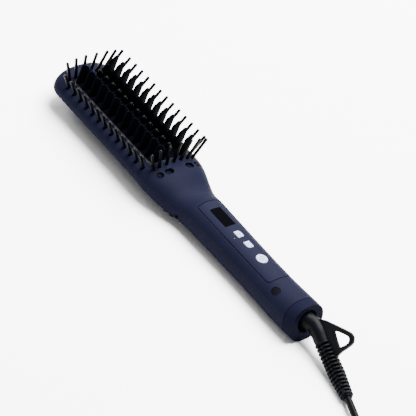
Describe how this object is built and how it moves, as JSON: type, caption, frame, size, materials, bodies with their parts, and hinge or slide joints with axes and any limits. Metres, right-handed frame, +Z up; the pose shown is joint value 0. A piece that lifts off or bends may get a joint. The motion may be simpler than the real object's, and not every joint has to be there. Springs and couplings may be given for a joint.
{
  "type": "steam hair straightener brush",
  "caption": "Hand-held steam hair straightening brush with heated comb blades, leaning outer pins, handle controls and a swivel cord.",
  "frame": {"origin": "middle of the brush's footprint on the table, the free cord left out, with the brush lying on its back", "axes": "+X from the head toward the cord end, +Y across the brush, +Z up, the way the blades and pins point"},
  "size_m": [0.4846, 0.0828, 0.048],
  "materials": {
    "casing": "fine matte grain, dark navy",
    "panel": "smooth satin, slightly lighter navy",
    "display": "glossy near-black window",
    "dark_trim": "satin, very dark navy",
    "steel": "zinc-plated",
    "plate_coating": "black ceramic coating, satin",
    "black_plastic": "satin black",
    "pins": "satin black nylon",
    "chamber": "cast",
    "ceramic": "fired ceramic",
    "sensor": "epoxy bead",
    "tank": "smoked translucent navy",
    "seal": "silicone",
    "pump": "satin",
    "hose": "clear silicone",
    "button": "satin, pale lavender grey",
    "board": "solder mask",
    "lens": "clear",
    "brass": "plated",
    "boot": "satin black",
    "cord": "satin black",
    "plug_body": "satin black",
    "pin_metal": "nickel-plated"
  },
  "bodies": {
    "handle": {"front_casing": "casing", "rear_casing": "casing", "end_cap": "casing", "control_panel": "panel", "display_window": "display", "screw_covers": "dark_trim", "casing_screws": "steel", "heater_plate": "plate_coating", "plate_frame": "black_plastic", "steam_nozzles": "black_plastic", "bristles_left": "pins", "bristles_right": "pins", "bristles_tip": "pins", "bristles_neck": "pins", "steam_chamber": "chamber", "heater_element": "ceramic", "heat_shield": "steel", "thermal_fuse": "ceramic", "temperature_sensor": "sensor", "latch_spring": "steel", "water_pump": "pump", "inlet_hose": "hose", "outlet_hose": "hose", "tact_switches": "black_plastic", "control_board": "board", "display_module": "black_plastic", "status_lens": "lens", "swivel_socket": "black_plastic", "contact_rings": "brass"},
    "swivel": {"cord_elbow": "boot", "hang_loop": "boot", "strain_relief": "boot", "power_cord": "cord", "cord_coil": "cord", "cord_tail": "cord", "plug": "plug_body", "plug_pins": "pin_metal"},
    "tank": {"water_tank": "tank", "tank_seal": "seal"},
    "filler": {"filler_plug": "seal"},
    "latch": {"tank_latch": "casing"},
    "up_button": {"button_up": "button"},
    "down_button": {"button_down": "button"},
    "on_button": {"power_button": "button"}
  },
  "joints": [
    {"name": "temperature_up_press", "type": "slide", "parent": "handle", "child": "up_button", "axis": [0, 0, -1], "range_m": [0, 0.0005], "stiffness_N_per_m": 800},
    {"name": "temperature_down_press", "type": "slide", "parent": "handle", "child": "down_button", "axis": [0, 0, -1], "range_m": [0, 0.0005], "stiffness_N_per_m": 800},
    {"name": "power_press", "type": "slide", "parent": "handle", "child": "on_button", "axis": [0, 0, -1], "range_m": [0, 0.0005], "stiffness_N_per_m": 800},
    {"name": "cord_swivel", "type": "hinge", "parent": "handle", "child": "swivel", "pos_m": [0.10939, 0, 0.0174], "axis": [1, 0, 0], "range_deg": [-180, 180]},
    {"name": "tank_release", "type": "slide", "parent": "handle", "child": "tank", "axis": [0, 0, -1], "range_m": [0, 0.025]},
    {"name": "filler_pull", "type": "slide", "parent": "tank", "child": "filler", "axis": [0, 0, -1], "range_m": [0, 0.008]},
    {"name": "latch_push", "type": "slide", "parent": "handle", "child": "latch", "axis": [1, 0, 0], "range_m": [0, 0.003], "stiffness_N_per_m": 500, "deforming": ["latch_spring"]}
  ]
}
